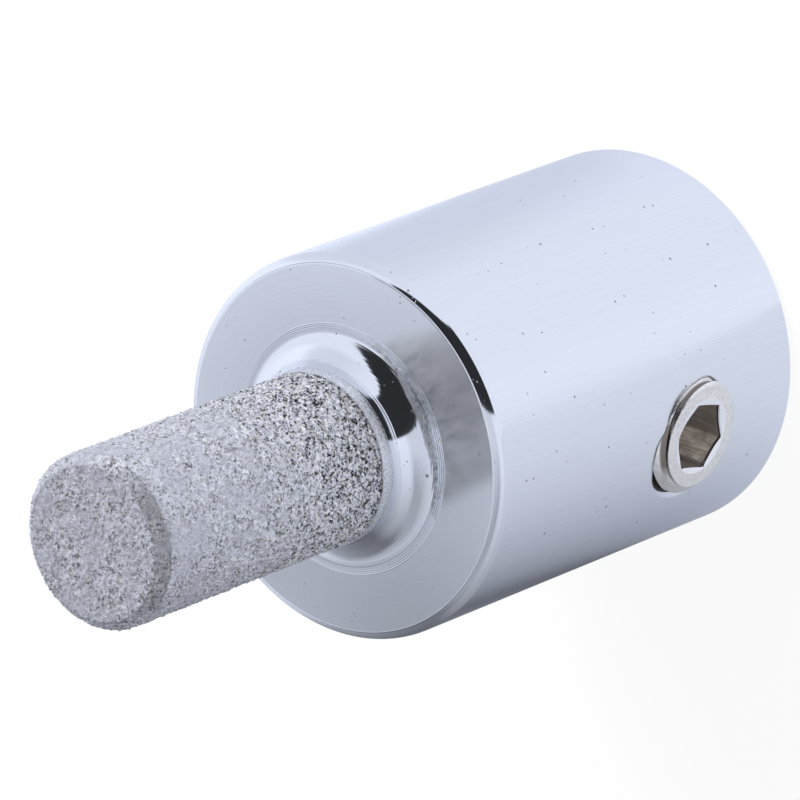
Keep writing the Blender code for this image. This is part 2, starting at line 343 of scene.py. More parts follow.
def add_screw_hole(surface, outer, inner):
    """Joins the two windows by the tapped hole. Its rim has its own outline, which runs into the thread below."""
    rim_round, skin = 0.05, 0.08
    patch_rings, lip_rings, wall_rings = 8, 5, 62
    outer_border, outer_x, outer_z = outer
    inner_border, inner_x, inner_z = inner
    theta = np.unwrap(np.arctan2(outer_z, outer_x))
    inner_theta = np.unwrap(np.arctan2(inner_z, inner_x))

    def wall(angle, q, depth):
        rim = rim_radius(angle)
        half_chord = np.sqrt(np.maximum(BODY_RADIUS**2 - (q + skin) ** 2, 0.0))
        under_skin = half_chord / np.maximum(np.abs(np.cos(angle)), 0.01)
        tapped = np.minimum(tapped_radius(angle, q - SCREW_FACE), np.maximum(under_skin, rim))
        return tapped + (rim - tapped) * np.exp(-np.maximum(depth, 0.0) / RIM_REACH)

    def on_cylinder(radius, x):
        return np.sqrt(radius**2 - x**2)

    def on_wall(radius, x, z):
        return np.stack([x, -on_cylinder(radius, x), z], 1)

    def round_hole(radius, angle, q):
        return np.stack([radius * np.cos(angle), -q, radius * np.sin(angle) + SCREW_HEIGHT], 1)

    edge = rim_radius(theta) + rim_round
    rim_q = on_cylinder(BODY_RADIUS, edge * np.cos(theta))

    points = []
    for k in range(patch_rings + 1):
        t = k / patch_rings
        x = outer_x * (1 - t) + edge * np.cos(theta) * t
        z = outer_z * (1 - t) + edge * np.sin(theta) * t
        points.append(on_wall(BODY_RADIUS, x, z + SCREW_HEIGHT))
    for k in range(1, lip_rings + 1):
        psi = math.radians(90) * k / lip_rings
        depth = rim_round * (1 - math.cos(psi))
        radius = wall(theta, rim_q - depth, depth) + rim_round * (1 - math.sin(psi))
        points.append(round_hole(radius, theta, rim_q - depth))

    # The inner edge lies both on the thread and on the bore, so it is found step by step
    inner_radius = np.full(len(theta), 2.2)
    for _ in range(8):
        inner_q = on_cylinder(BORE_RADIUS, inner_radius * np.cos(inner_theta))
        inner_radius = tapped_radius(inner_theta, inner_q - SCREW_FACE)
    for k in range(1, wall_rings + 1):
        t = k / wall_rings
        angle = theta * (1 - t) + inner_theta * t
        q = (rim_q - rim_round) * (1 - t) + inner_q * t
        radius = wall(angle, q, rim_q - q)
        points.append(round_hole(radius, angle, q))
    points = np.array(points)

    level = np.array([1.0, 1.0, 0.0])
    normals = grid_normals(points, 0, points[0][0] * level)
    for k in range(patch_rings + 1):
        normals[k] = unit(points[k] * level)
    rows = [outer_border] + [surface.add_points(p) for p in points[1:]]
    lip = patch_rings + lip_rings
    add_grid(surface, rows[: lip + 1], normals[: lip + 1], SIDE)
    add_grid(surface, rows[lip:], normals[lip:], TAPPED)

    # The wall of the bore round the hole's inner end
    last = points[-1]
    inner_places = on_wall(BORE_RADIUS, inner_x, inner_z + SCREW_HEIGHT)
    rings = [last]
    for t in (0.3, 0.65):
        x = last[:, 0] * (1 - t) + inner_places[:, 0] * t
        z = last[:, 2] * (1 - t) + inner_places[:, 2] * t
        rings.append(on_wall(BORE_RADIUS, x, z))
    rings.append(inner_places)
    rows = [rows[-1]] + [surface.add_points(p) for p in rings[1:-1]] + [inner_border]
    normals = [-unit(p * level) for p in rings]
    add_grid(surface, rows, normals, BORE)


def crown_height(radius):
    """The height of the crowned front face over its outer end."""
    inner = NECK_RADIUS + FILLET_RADIUS + STEP_COUNT * STEP_WIDTH
    outer = BODY_RADIUS - FRONT_EDGE_WIDTH
    t = (outer - max(radius, inner)) / (outer - inner)
    low, high = CROWN_SLOPES
    return (outer - inner) * (high * t - (high - low) * t * t / 2)


def add_fillet(profile):
    """The neck and the fillet as their tool left them: feed grooves, then narrow facets of uneven tilt."""
    chance = random.Random(11)
    centre_r = NECK_RADIUS + FILLET_RADIUS
    centre_z = BODY_LENGTH + crown_height(0.0) + STEP_COUNT * STEP_RISE + FILLET_RADIUS
    profile.line(NECK_RADIUS, SHOULDER_Z - BOND_LINE, NECK)
    width = (profile.end[1] - centre_z) / GROOVES
    for _ in range(GROOVES):
        depth = width * math.tan(math.radians(chance.uniform(*GROOVE_SLOPES)))
        profile.line(NECK_RADIUS + depth, profile.end[1] - width * 0.8, NECK)
        profile.line(NECK_RADIUS, profile.end[1] - width * 0.2, NECK)
    for k in range(1, FACETS + 1):
        angle = math.radians(90.0) * k / FACETS
        reach = FILLET_RADIUS + (chance.uniform(-1.0, 1.0) * FACET_PLAY if k < FACETS else 0.0)
        finish = NECK if k <= NECK_FACETS else FILLET
        profile.line(centre_r - reach * math.cos(angle), centre_z - reach * math.sin(angle), finish)


def add_face(profile):
    """The turning steps and the front face, whose feed marks are shallow rings."""
    chance = random.Random(5)
    radius, height = profile.end
    riser = STEP_RISE / math.tan(math.radians(RISER_SLOPE))
    tread = (STEP_WIDTH - riser) / 2
    for _ in range(STEP_COUNT):
        tilt = tread * math.tan(math.radians(chance.uniform(-TREAD_TILT, TREAD_TILT)))
        profile.line(radius + tread, height + tilt, FILLET)
        radius += 2 * tread
        profile.line(radius, height, FILLET)
        radius += riser
        height -= STEP_RISE
        profile.line(radius, height, FILLET)
    outer = BODY_RADIUS - FRONT_EDGE_WIDTH - EDGE_LINE
    width = (outer - radius) / FEED_RINGS
    for _ in range(FEED_RINGS - 1):
        radius += width
        rise = width * math.tan(math.radians(FEED_TILT)) * chance.uniform(-1.0, 1.0)
        profile.line(radius, BODY_LENGTH + crown_height(radius) + rise, TURNED)
    profile.line(outer, BODY_LENGTH + crown_height(outer), TURNED)


def add_front_edge(profile):
    """The rounded edge between the front face and the side. It meets the face in a thin line and a small lip."""
    outer = BODY_RADIUS - FRONT_EDGE_WIDTH
    centre_r, centre_z = BODY_RADIUS - FRONT_EDGE_RADIUS, BODY_LENGTH - FRONT_EDGE_DEPTH
    line_bands, arc_bands = 4, 18

    def on_arc(angle):
        return centre_r + FRONT_EDGE_RADIUS * math.cos(angle), centre_z + FRONT_EDGE_RADIUS * math.sin(angle)

    start = math.acos((outer - centre_r) / FRONT_EDGE_RADIUS)
    top = on_arc(start)[1]
    before = math.pi / 2 - CROWN_SLOPES[1]
    foot = BODY_LENGTH + crown_height(outer - EDGE_LINE)
    for k in range(1, line_bands + 1):
        t = k / line_bands
        a, b = (before + (start - before) * s / line_bands for s in (k - 1, k))
        profile.band((outer - EDGE_LINE * (1 - t), foot + (top - foot) * t * t), a, b, FILLET)
    out, down = EDGE_LIP
    profile.band((outer + out, top - down), *map(math.radians, EDGE_LIP_ANGLES), FILLET)
    start = math.acos((outer + EDGE_TREAD - centre_r) / FRONT_EDGE_RADIUS)
    profile.band(on_arc(start), start, start, FILLET)
    for k in range(1, arc_bands + 1):
        a, b = (start * (1 - s / arc_bands) for s in (k - 1, k))
        profile.band(on_arc(b), a, b, FILLET)


def make_core(materials):
    surface = Surface()
    inset = GRIT_THICKNESS + BOND_LINE
    pin, top = PIN_RADIUS - inset, TIP_Z - inset
    profile = Profile(0.0, top)
    profile.line(pin - TIP_CHAMFER, top, FILLET)
    profile.line(pin, top - TIP_CHAMFER, FILLET)
    profile.line(pin, SHOULDER_Z - BOND_LINE, FILLET)
    add_fillet(profile)
    add_face(profile)
    add_front_edge(profile)
    profile.line(BODY_RADIUS, BODY_LENGTH - FRONT_EDGE_DEPTH - MARGIN, SIDE)
    upper = turned(surface, profile)

    mouth, depth = BORE_RADIUS + BORE_MOUTH_CHAMFER, BORE_MOUTH_CHAMFER
    profile = Profile(BODY_RADIUS, BACK_CHAMFER + MARGIN)
    profile.path([(BODY_RADIUS, BACK_CHAMFER), (BODY_RADIUS - BACK_CHAMFER, 0.0), (mouth + MARGIN, 0.0)], SIDE)
    profile.path([(mouth, 0.0), (BORE_RADIUS, depth), (BORE_RADIUS, depth + MARGIN)], TURNED)
    lower = surface.add_points(ring(BODY_RADIUS, BACK_CHAMFER + MARGIN))
    bore_low = turned(surface, profile, lower)

    bore_end = BORE_DEPTH - 0.1
    profile = Profile(BORE_RADIUS, bore_end)
    profile.path([(BORE_RADIUS, BORE_DEPTH), (0.0, BORE_DEPTH + BORE_CONE)], BORE)
    bore_high = surface.add_points(ring(BORE_RADIUS, bore_end))
    turned(surface, profile, bore_high)
    outer = window_loop(
        surface, upper, lower, BODY_RADIUS, 1.0, half_columns=22, half_height=3.3, rows=96, finish=SIDE
    )
    inner = window_loop(
        surface, bore_high, bore_low, BORE_RADIUS, -1.0, half_columns=40, half_height=3.0, rows=60, finish=BORE
    )
    add_screw_hole(surface, outer, inner)
    return surface.make("plated_core", materials)


# -------- set screw
STEEL, MOUTH, SOCKET = range(3)


def make_screw(materials):
    """The screw's frame has its origin at the centre of its face and +Z out of the hole."""
    surface = Surface()
    columns = 240
    theta = np.radians(SCREW_TURN + 90.0) + 2 * math.pi * np.arange(columns) / columns
    cos, sin = np.cos(theta), np.sin(theta)
    in_side = np.mod(2 * math.pi * np.arange(columns) / columns, math.pi / 3) - math.pi / 6
    hexagon = SOCKET_APOTHEM / np.cos(in_side)

    def row(radius, height, shift=0.0):
        radius = radius * np.ones(columns)
        return np.stack([radius * cos + shift, radius * sin, height * np.ones(columns)], 1)

    outside = [row(0.02, CUP_DEPTH - SCREW_LENGTH)]
    outside += [row(CUP_RADIUS - 0.03, 0.018 - SCREW_LENGTH), row(CUP_RADIUS, -SCREW_LENGTH)]

    # The thread's rows lie close together only on the stretch that shows. Near the face the thread is cut back
    # to fit the hole's rim with a gap, and grows from there
    shown, wide, close = -1.3, 0.045, 0.02
    heights = np.concatenate([np.arange(close - SCREW_LENGTH, shown, wide), np.arange(shown, -0.0001, close)])
    rim_gap, skin_gap, growth = 0.04, 0.06, 2.5
    rim = rim_radius(theta)
    skin = np.sqrt(BODY_RADIUS**2 - (rim * cos) ** 2) - SCREW_FACE
    for height in heights:
        blank_face = FACE_RADIUS - height
        blank_cup = CUP_RADIUS + SCREW_LENGTH + height
        first_thread = rim - rim_gap + growth * np.maximum(skin - skin_gap - height, 0.0)
        radius = thread_radius(theta, height)
        for blank in (blank_face, blank_cup, first_thread):
            radius = smaller(radius, blank, 0.012)
        outside.append(row(radius, height))
    outside += [row(FACE_RADIUS - 0.008, -0.002), row(FACE_RADIUS - 0.03, 0.0), row(MOUTH_RADIUS + 0.05, 0.0)]
    outside += [row(MOUTH_RADIUS + 0.01, 0.0)]
    outside = np.array(outside)

    def socket_row(reach, height):
        return row(reach, height, SOCKET_SHIFT)

    # The mouth's cone sinks least at the hexagon's corners; its foot turns into the walls
    sink = (MOUTH_RADIUS - hexagon) * MOUTH_SLOPE
    foot = socket_row(hexagon + 0.04, 0.04 * MOUTH_SLOPE - sink)
    mouth = [outside[-1], row(MOUTH_RADIUS, -0.002), row(MOUTH_RADIUS - 0.02, -0.006)]
    mouth += [(row(MOUTH_RADIUS, 0.0) + foot) / 2, foot]
    mouth += [socket_row(hexagon + 0.012, -sink - 0.012), socket_row(hexagon, -sink - 0.045)]
    mouth = np.array(mouth)

    inside = [mouth[-1], socket_row(hexagon, -sink - 0.07)]
    inside += [socket_row(hexagon, -sink * (1 - t) - SOCKET_DEPTH * t) for t in (0.3, 0.65, 0.99)]
    inside += [socket_row(hexagon, -SOCKET_DEPTH), socket_row(hexagon * 0.98, -SOCKET_DEPTH - 0.02)]
    inside += [socket_row(hexagon * 0.05, -SOCKET_DEPTH - 0.95 * SOCKET_CONE)]
    inside = np.array(inside)

    normals = grid_normals(outside, 20, outside[20][0])
    rows = [surface.add_points(p) for p in outside]
    add_grid(surface, rows, normals, STEEL)
    add_fan(surface, (0.0, 0.0, CUP_DEPTH - SCREW_LENGTH), rows[0], normals[0], STEEL)
    over = grid_normals(mouth, 0, (0.0, 0.0, 1.0))
    rows = [rows[-1]] + [surface.add_points(p) for p in mouth[1:]]
    add_grid(surface, rows, over, MOUTH)
    inner = grid_normals(inside, 2, inside[2][0] * (-1.0, -1.0, 0.0))
    rows = [rows[-1]] + [surface.add_points(p) for p in inside[1:]]
    add_grid(surface, rows, inner, SOCKET)
    add_fan(surface, (SOCKET_SHIFT, 0.0, -SOCKET_DEPTH - SOCKET_CONE), rows[-1], inner[-1], SOCKET)

    # Out of the screw's frame: +Z turns to -Y
    place = Matrix.Translation((0.0, -SCREW_FACE, SCREW_HEIGHT)) @ Matrix.Rotation(math.radians(90.0), 4, "X")
    turn = np.array(place)
    surface.points = [tuple(p) for p in np.array(surface.points) @ turn[:3, :3].T + turn[:3, 3]]
    surface.normals = [(np.array(n) @ turn[:3, :3].T).tolist() for n in surface.normals]
    return surface.make("socket_screw", materials)


# -------- grit
# The step of the mesh, and that of the grains with the share of it that their centres stray
GRIT_STEP = 0.0655
GRAIN_STEP = 0.105
GRAIN_STRAY = 0.42
# Grains stand at uneven heights and tilts, a little under the nominal surface, with cracks between them
GRAIN_HEIGHT = 0.017
GRAIN_TILT = 0.36
GRAIN_SINK = 0.012
CRACK_WIDTH = 0.03
CRACK_DEPTH = 0.034
LOWEST, HIGHEST = -0.07, 0.035
RAGGED_EDGE = 0.06
LINING_COLUMNS = 96


def grit_outline():
    """Points (radius, height, normal angle) down the coating's outer side, one grid step apart."""
    corners = [
        (0.0, TIP_Z),
        (PIN_RADIUS - TIP_CHAMFER, TIP_Z),
        (PIN_RADIUS, TIP_Z - TIP_CHAMFER),
        (PIN_RADIUS, SHOULDER_Z),
    ]
    profile = Profile(*corners[0])
    profile.path(corners[1:], 0, rounding=0.09, steps=3)
    stations = []
    for start, angle_a, end, angle_b, _ in profile.bands:
        length = math.dist(start, end)
        count = max(1, round(length / GRIT_STEP))
        for k in range(count):
            a, b = (*start, angle_a), (*end, angle_b)
            stations.append(tuple(p + (q - p) * k / count for p, q in zip(a, b)))
    stations.append((*corners[-1], 0.0))
    return stations


def spaced_ring(radius, height, angle, step, offset):
    """Points about a step apart round the axis, and their normals."""
    count = max(1, round(2 * math.pi * radius / step))
    around = 2 * math.pi * (np.arange(count) + offset) / count
    return ring(radius, height, around), ring(math.cos(angle), math.sin(angle), around)


def zip_rings(upper, upper_first, lower, lower_first):
    """Triangles between two closed rings with their own counts. The rings start at about the same angle."""
    faces = []
    i = j = 0
    n, m = len(upper), len(lower)
    while i < n or j < m:
        if j >= m or (i < n and (i + 1 + upper_first) / n <= (j + 1 + lower_first) / m):
            faces.append((upper[i % n], lower[j % m], upper[(i + 1) % n]))
            i += 1
        else:
            faces.append((upper[i % n], lower[j % m], lower[(j + 1) % m]))
            j += 1
    return faces


def make_grit(material):
    chance = np.random.default_rng(23)
    stations = grit_outline()

    centres = []
    for k in range(0, len(stations), 2):
        radius, height, angle = stations[k]
        places, _ = spaced_ring(max(radius, 0.02), height, angle, GRAIN_STEP, (k // 2) % 2 / 2)
        centres.append(places + chance.uniform(-GRAIN_STRAY, GRAIN_STRAY, places.shape) * GRAIN_STEP)
    centres = np.concatenate(centres)
    tree = KDTree(len(centres))
    for i, centre in enumerate(centres):
        tree.insert(centre, i)
    tree.balance()
    heights = chance.normal(0.0, GRAIN_HEIGHT, len(centres))
    tilts = chance.normal(0.0, GRAIN_TILT, (len(centres), 3))
    tones = chance.random(len(centres))

    points, rings, tone = [], [], []
    for k, (radius, height, angle) in enumerate(stations):
        offset = (k % 2) / 2
        places, normals = spaced_ring(radius, height, angle, GRIT_STEP, offset)
        last = k == len(stations) - 1
        for place, normal in zip(places, normals):
            (centre, index, first), (_, _, second) = tree.find_n(place, 2)
            crack = CRACK_DEPTH * math.exp(-(second - first) / CRACK_WIDTH)
            rise = heights[index] + float(tilts[index] @ (place - np.array(centre))) - crack - GRAIN_SINK
            rise = max(LOWEST, min(HIGHEST, rise))
            if last:
                place = place + np.array([0.0, 0.0, RAGGED_EDGE * (tones[index] - 0.3)])
            points.append(place + normal * rise)
            tone.append(tones[index])
        rings.append((list(range(len(points) - len(places), len(points))), offset))
    faces = []
    for (upper, a), (lower, b) in zip(rings, rings[1:]):
        if len(upper) == 1:
            faces += [(upper[0], lower[i], lower[(i + 1) % len(lower)]) for i in range(len(lower))]
        else:
            faces += zip_rings(upper, a, lower, b)

    # The hidden inner side of the layer
    inner_radius, inner_top = PIN_RADIUS - GRIT_THICKNESS, TIP_Z - GRIT_THICKNESS
    outside = rings[-1]
    for radius, height in (
        (inner_radius, SHOULDER_Z),
        (inner_radius, inner_top - TIP_CHAMFER),
        (inner_radius - TIP_CHAMFER, inner_top),
    ):
        places, _ = spaced_ring(radius, height, 0.0, 2 * math.pi * radius / LINING_COLUMNS, 0.0)
        points.extend(places)
        tone.extend([0.5] * len(places))
        inner = (list(range(len(points) - len(places), len(points))), 0.0)
        faces += zip_rings(*outside, *inner)
        outside = inner
    points.append(np.array([0.0, 0.0, inner_top]))
    tone.append(0.5)
    last_ring = outside[0]
    faces += [(a, len(points) - 1, b) for a, b in zip(last_ring, last_ring[1:] + last_ring[:1])]

    mesh = bpy.data.meshes.new("diamond_grit")
    mesh.from_pydata((np.array(points) * MM).tolist(), [], faces)
    mesh.materials.append(material)
    shade = mesh.attributes.new("grain_tone", "FLOAT", "POINT")
    shade.data.foreach_set("value", np.array(tone, np.float32))
    mesh.validate()
    mesh.shade_smooth()
    return add_object("diamond_grit", mesh)


# -------- materials
X, Y, Z = (1.0, 0.0, 0.0), (0.0, 1.0, 0.0), (0.0, 0.0, 1.0)


class Nodes:
    """A node tree with short calls for the nodes that it uses."""

    def __init__(self, tree):
        self.tree = tree

    def node(self, kind, **settings):
        node = self.tree.nodes.new(kind)
        for key, value in settings.items():
            setattr(node, key, value)
        return node

    def put(self, socket, value):
        if isinstance(value, bpy.types.NodeSocket):
            self.tree.links.new(value, socket)
        else:
            socket.default_value = value

    def result(self, kind, output, inputs, **settings):
        """Adds a node with its inputs, by name or number, and returns one of its outputs."""
        node = self.node(kind, **settings)
        for name, value in inputs.items():
            self.put(node.inputs[name], value)
        return node.outputs[output]

    def vector(self, operation, *inputs):
        output = "Value" if operation in ("DISTANCE", "DOT_PRODUCT", "LENGTH") else "Vector"
        return self.result("ShaderNodeVectorMath", output, dict(enumerate(inputs)), operation=operation)

    def along(self, place, direction):
        return self.vector("DOT_PRODUCT", place, direction)

    def maths(self, operation, *inputs):
        return self.result("ShaderNodeMath", 0, dict(enumerate(inputs)), operation=operation)

    def plus(self, first, second):
        return self.maths("ADD", first, second)

    def times(self, first, *others):
        for other in others:
            first = self.maths("MULTIPLY", first, other)
        return first

    def spread(self, value, low, high, out_low=0.0, out_high=1.0, soft=False):
        inputs = {"Value": value, "From Min": low, "From Max": high, "To Min": out_low, "To Max": out_high}
        kind = "SMOOTHSTEP" if soft else "LINEAR"
        return self.result("ShaderNodeMapRange", "Result", inputs, interpolation_type=kind)

    def light(self, kind, strength, **inputs):
        return self.result(kind, 0, {"Strength": strength, **inputs})

    def mix_shader(self, *inputs):
        return self.result("ShaderNodeMixShader", 0, dict(enumerate(inputs)))


class Material(Nodes):
    """A material's nodes. Its place is the point on the piece, in millimetres."""

    def __init__(self, name, colour, metallic, roughness):
        self.material = bpy.data.materials.new(name)
        self.material.use_nodes = True
        super().__init__(self.material.node_tree)
        self.shader = self.tree.nodes["Principled BSDF"]
        self.set(Base_Color=(*colour, 1.0), Metallic=metallic, Roughness=roughness)
        coordinates = self.node("ShaderNodeTexCoord").outputs["Object"]
        self.place = self.vector("MULTIPLY", coordinates, (1 / MM, 1 / MM, 1 / MM))

    def stretch(self, factors):
        return self.vector("MULTIPLY", self.place, factors)

    def noise(self, place, scale, detail, roughness):
        inputs = {"Vector": place, "Scale": scale, "Detail": detail, "Roughness": roughness}
        return self.result("ShaderNodeTexNoise", "Fac", inputs)

    def cells(self, scale, output="Distance"):
        return self.result("ShaderNodeTexVoronoi", output, {"Vector": self.place, "Scale": scale})

    def ramp(self, value, stops):
        node = self.node("ShaderNodeValToRGB")
        self.put(node.inputs["Fac"], value)
        elements = node.color_ramp.elements
        while len(elements) < len(stops):
            elements.new(0.5)
        for element, (position, colour) in zip(elements, stops):
            element.position = position
            element.color = (*colour, 1.0)
        return node.outputs["Color"]

    def mix(self, factor, first, second):
        node = self.node("ShaderNodeMix", data_type="RGBA")
        self.put(node.inputs["Factor"], factor)
        for name, value in (("A", first), ("B", second)):
            socket = next(s for s in node.inputs if s.name == name and s.type == "RGBA")
            self.put(socket, value if isinstance(value, bpy.types.NodeSocket) else (*value, 1.0))
        return next(s for s in node.outputs if s.type == "RGBA")

    def bump(self, height, distance_mm, strength):
        inputs = {"Height": height, "Distance": distance_mm * MM, "Strength": strength}
        return self.result("ShaderNodeBump", "Normal", inputs)

    def set(self, **sockets):
        for name, value in sockets.items():
            self.put(self.shader.inputs[name.replace("_", " ")], value)
        return self.material


PLATING = (0.80, 0.82, 0.86)
GRIME = (0.16, 0.13, 0.11)


def pits(mat, density=1.8, size=0.13):
    """Small pits, far apart and of uneven size: 1 in a pit, 0 elsewhere."""
    chosen = mat.cells(density, "Color")
    keep = mat.maths("GREATER_THAN", mat.along(chosen, X), 0.5)
    width = mat.spread(mat.along(chosen, Y), 0.0, 1.0, size * 0.35, size)
    dot = mat.spread(mat.maths("DIVIDE", mat.cells(density), width), 1.0, 0.6)
    return mat.times(dot, keep)


def pitted_plating(mat, pit):
    return mat.mix(mat.times(pit, 0.8), PLATING, GRIME)


def plated_side():
    mat = Material("plated_side", PLATING, 1.0, 0.08)
    mat.set(Specular_Tint=(0.88, 0.90, 0.95, 1.0))
    streaks = mat.noise(mat.stretch((1.0, 1.0, 0.02)), 12.0, 5.0, 0.7)
    roughness = mat.spread(streaks, 0.35, 0.7, 0.05, 0.14)
    pit = pits(mat)
    height = mat.plus(streaks, mat.times(pit, -0.8))
    bright = mat.spread(streaks, 0.45, 0.7, 0.0, 0.35)
    colour = mat.mix(bright, pitted_plating(mat, pit), (0.90, 0.92, 0.95))
    return mat.set(Base_Color=colour, Roughness=roughness, Normal=mat.bump(height, 0.012, 0.7))


def turned_plating():
    mat = Material("turned_plating", PLATING, 1.0, 0.12)
    mat.set(Anisotropic=0.85, Anisotropic_Rotation=0.25)
    rings = mat.node("ShaderNodeCombineXYZ")
    mat.put(rings.inputs[0], mat.vector("LENGTH", mat.stretch((1.0, 1.0, 0.0))))
    marks = mat.noise(rings.outputs[0], 22.0, 2.0, 0.6)
    tangent = mat.node("ShaderNodeTangent", direction_type="RADIAL", axis="Z").outputs[0]
    pit = pits(mat, 2.9, 0.14)
    grain = mat.noise(mat.place, 16.0, 3.0, 0.7)
    height = mat.plus(mat.times(marks, 0.4), mat.maths("SUBTRACT", grain, pit))
    colour = pitted_plating(mat, pit)
    return mat.set(Base_Color=colour, Tangent=tangent, Normal=mat.bump(height, 0.004, 0.4))


def fillet_plating():
    mat = Material("fillet_plating", PLATING, 1.0, 0.08)
    pit = pits(mat, 1.7)
    height = mat.plus(pit, pits(mat, 3.6, 0.15))
    return mat.set(Base_Color=pitted_plating(mat, pit), Normal=mat.bump(height, -0.02, 0.5))


def neck_plating():
    mat = Material("neck_plating", PLATING, 0.85, 0.3)
    grain = mat.noise(mat.stretch((1.0, 1.0, 3.0)), 8.0, 3.0, 0.6)
    colour = mat.ramp(grain, [(0.35, (0.46, 0.47, 0.50)), (0.55, PLATING), (0.7, (0.94, 0.95, 0.97))])
    roughness = mat.spread(grain, 0.3, 0.7, 0.18, 0.35)
    return mat.set(Base_Color=colour, Roughness=roughness, Normal=mat.bump(grain, 0.02, 0.5))


def shaded_tapped_metal():
    """Nearly black: the hole's shade painted into its colour, with a few paler stains."""
    mat = Material("shaded_tapped_metal", (0.06, 0.05, 0.045), 0.15, 0.5)
    mat.set(Specular_IOR_Level=0.25)
    stains = mat.noise(mat.place, 4.0, 3.0, 0.6)
    stops = [(0.35, (0.012, 0.010, 0.009)), (0.62, (0.06, 0.05, 0.04)), (0.7, (0.26, 0.23, 0.18))]
    return mat.set(Base_Color=mat.ramp(stains, stops), Normal=mat.bump(stains, 0.02, 0.5))


def bore_metal():
    mat = Material("bore_metal", (0.50, 0.50, 0.52), 1.0, 0.35)
    rings = mat.noise(mat.stretch((0.05, 0.05, 1.0)), 9.0, 3.0, 0.6)
    roughness = mat.spread(rings, 0.3, 0.7, 0.25, 0.45)
    return mat.set(Roughness=roughness, Normal=mat.bump(rings, 0.01, 0.4))


SCREW_PLATING = (0.86, 0.835, 0.80)


def screw_places(mat):
    """The place with its height from the screw's axis, and the distance from that axis."""
    place = mat.vector("ADD", mat.place, (0.0, 0.0, -SCREW_HEIGHT))
    return place, mat.vector("LENGTH", mat.vector("MULTIPLY", place, (1.0, 0.0, 1.0)))


def screw_steel():
    """Bright plating, dark brown in the bottom of the thread and up the flanks over the face on the side towards
    the front face.
    """
    mat = Material("screw_plating", SCREW_PLATING, 1.0, 0.2)
    grain = mat.noise(mat.place, 7.0, 3.0, 0.6)
    place, from_axis = screw_places(mat)
    root = mat.spread(from_axis, 2.10, 2.06)
    sideways = mat.along(place, X)
    flank = mat.times(
        mat.spread(from_axis, 2.31, 2.22),
        mat.spread(mat.along(place, Z), 0.9, 1.6),
        mat.spread(sideways, 1.3, 0.8),
        mat.spread(sideways, -1.5, -0.8),
    )
    below = mat.spread(mat.along(place, Y), 0.05 - SCREW_FACE, 0.08 - SCREW_FACE)
    # Darker and browner in the bottom of the thread and on those flanks, under the face
    dark_brown = mat.times(mat.maths("MAXIMUM", root, flank), below)
    grey = mat.ramp(grain, [(0.3, (0.74, 0.72, 0.70)), (0.5, SCREW_PLATING), (0.7, (0.95, 0.93, 0.90))])
    colour = mat.mix(mat.times(dark_brown, 0.9), grey, (0.17, 0.135, 0.11))
    roughness = mat.spread(grain, 0.3, 0.7, 0.12, 0.3)
    return mat.set(Base_Color=colour, Roughness=roughness, Normal=mat.bump(grain, 0.02, 0.6))


def mouth_steel():
    mat = Material("mouth_plating", (0.97, 0.965, 0.96), 1.0, 0.1)
    grain = mat.noise(mat.place, 6.0, 3.0, 0.6)
    roughness = mat.spread(grain, 0.3, 0.7, 0.06, 0.14)
    return mat.set(Roughness=roughness, Normal=mat.bump(grain, 0.004, 0.5))


# Two of the socket's walls get painted shade: the direction that each lies in, in degrees, and its share of
# painted shade
SHADED_WALLS = ((-60.0, 0.72), (180.0, 0.76))


def socket_steel():
    """Brown walls with the broach's bright lengthwise marks, two of them darkened by painted shade, and a painted
    shade line along the mouth.
    """
    mat = Material("socket_steel", (0.45, 0.39, 0.35), 0.3, 0.4)
    streaks = mat.noise(mat.stretch((1.0, 0.05, 1.0)), 16.0, 4.0, 0.75)
    stops = [
        (0.36, (0.38, 0.33, 0.29)),
        (0.5, (0.70, 0.63, 0.57)),
        (0.58, (0.86, 0.80, 0.74)),
        (0.68, (1.0, 1.0, 0.97)),
    ]
    clouds = mat.spread(mat.noise(mat.place, 1.3, 2.0, 0.6), 0.42, 0.62, 0.0, 0.55)
    colour = mat.mix(clouds, mat.ramp(streaks, stops), (0.24, 0.20, 0.185))
    place, from_axis = screw_places(mat)
    # Painted shade on two of the walls
    for turn, shade in SHADED_WALLS:
        angle = math.radians(SCREW_TURN + turn)
        reach = mat.along(place, (math.cos(angle), 0.0, math.sin(angle)))
        wall = mat.spread(reach, SOCKET_APOTHEM - 0.16, SOCKET_APOTHEM - 0.06, 0.0, shade)
        colour = mat.mix(wall, colour, (0.15, 0.13, 0.125))
    # A painted shade line just under the mouth's edge
    depth = mat.plus(mat.along(place, Y), SCREW_FACE)
    mouth = mat.times(mat.maths("SUBTRACT", from_axis, MOUTH_RADIUS), MOUTH_SLOPE)
    mouth_shade_line = mat.spread(mat.plus(depth, mouth), 0.10, 0.14, 0.9, 0.0)
    colour = mat.mix(mouth_shade_line, colour, (0.02, 0.018, 0.018))
    return mat.set(Base_Color=colour, Normal=mat.bump(streaks, 0.02, 0.5))


# The colours of the grains, from the darkest tone to the brightest
GRAIN_STOPS = [
    (0.0, (0.02, 0.02, 0.02)),
    (0.14, (0.06, 0.055, 0.055)),
    (0.24, (0.28, 0.265, 0.22)),
    (0.32, (0.50, 0.51, 0.55)),
    (0.5, (0.68, 0.69, 0.75)),
    (0.68, (0.82, 0.84, 0.92)),
    (0.78, (1.0, 1.0, 1.0)),
]
# The side of the tip's chamfer that gets painted shade, and the sum of radius and height on that chamfer
SHADED_WAY = (0.26, -0.966, 0.0)
CHAMFER_SUM = PIN_RADIUS - TIP_CHAMFER + TIP_Z


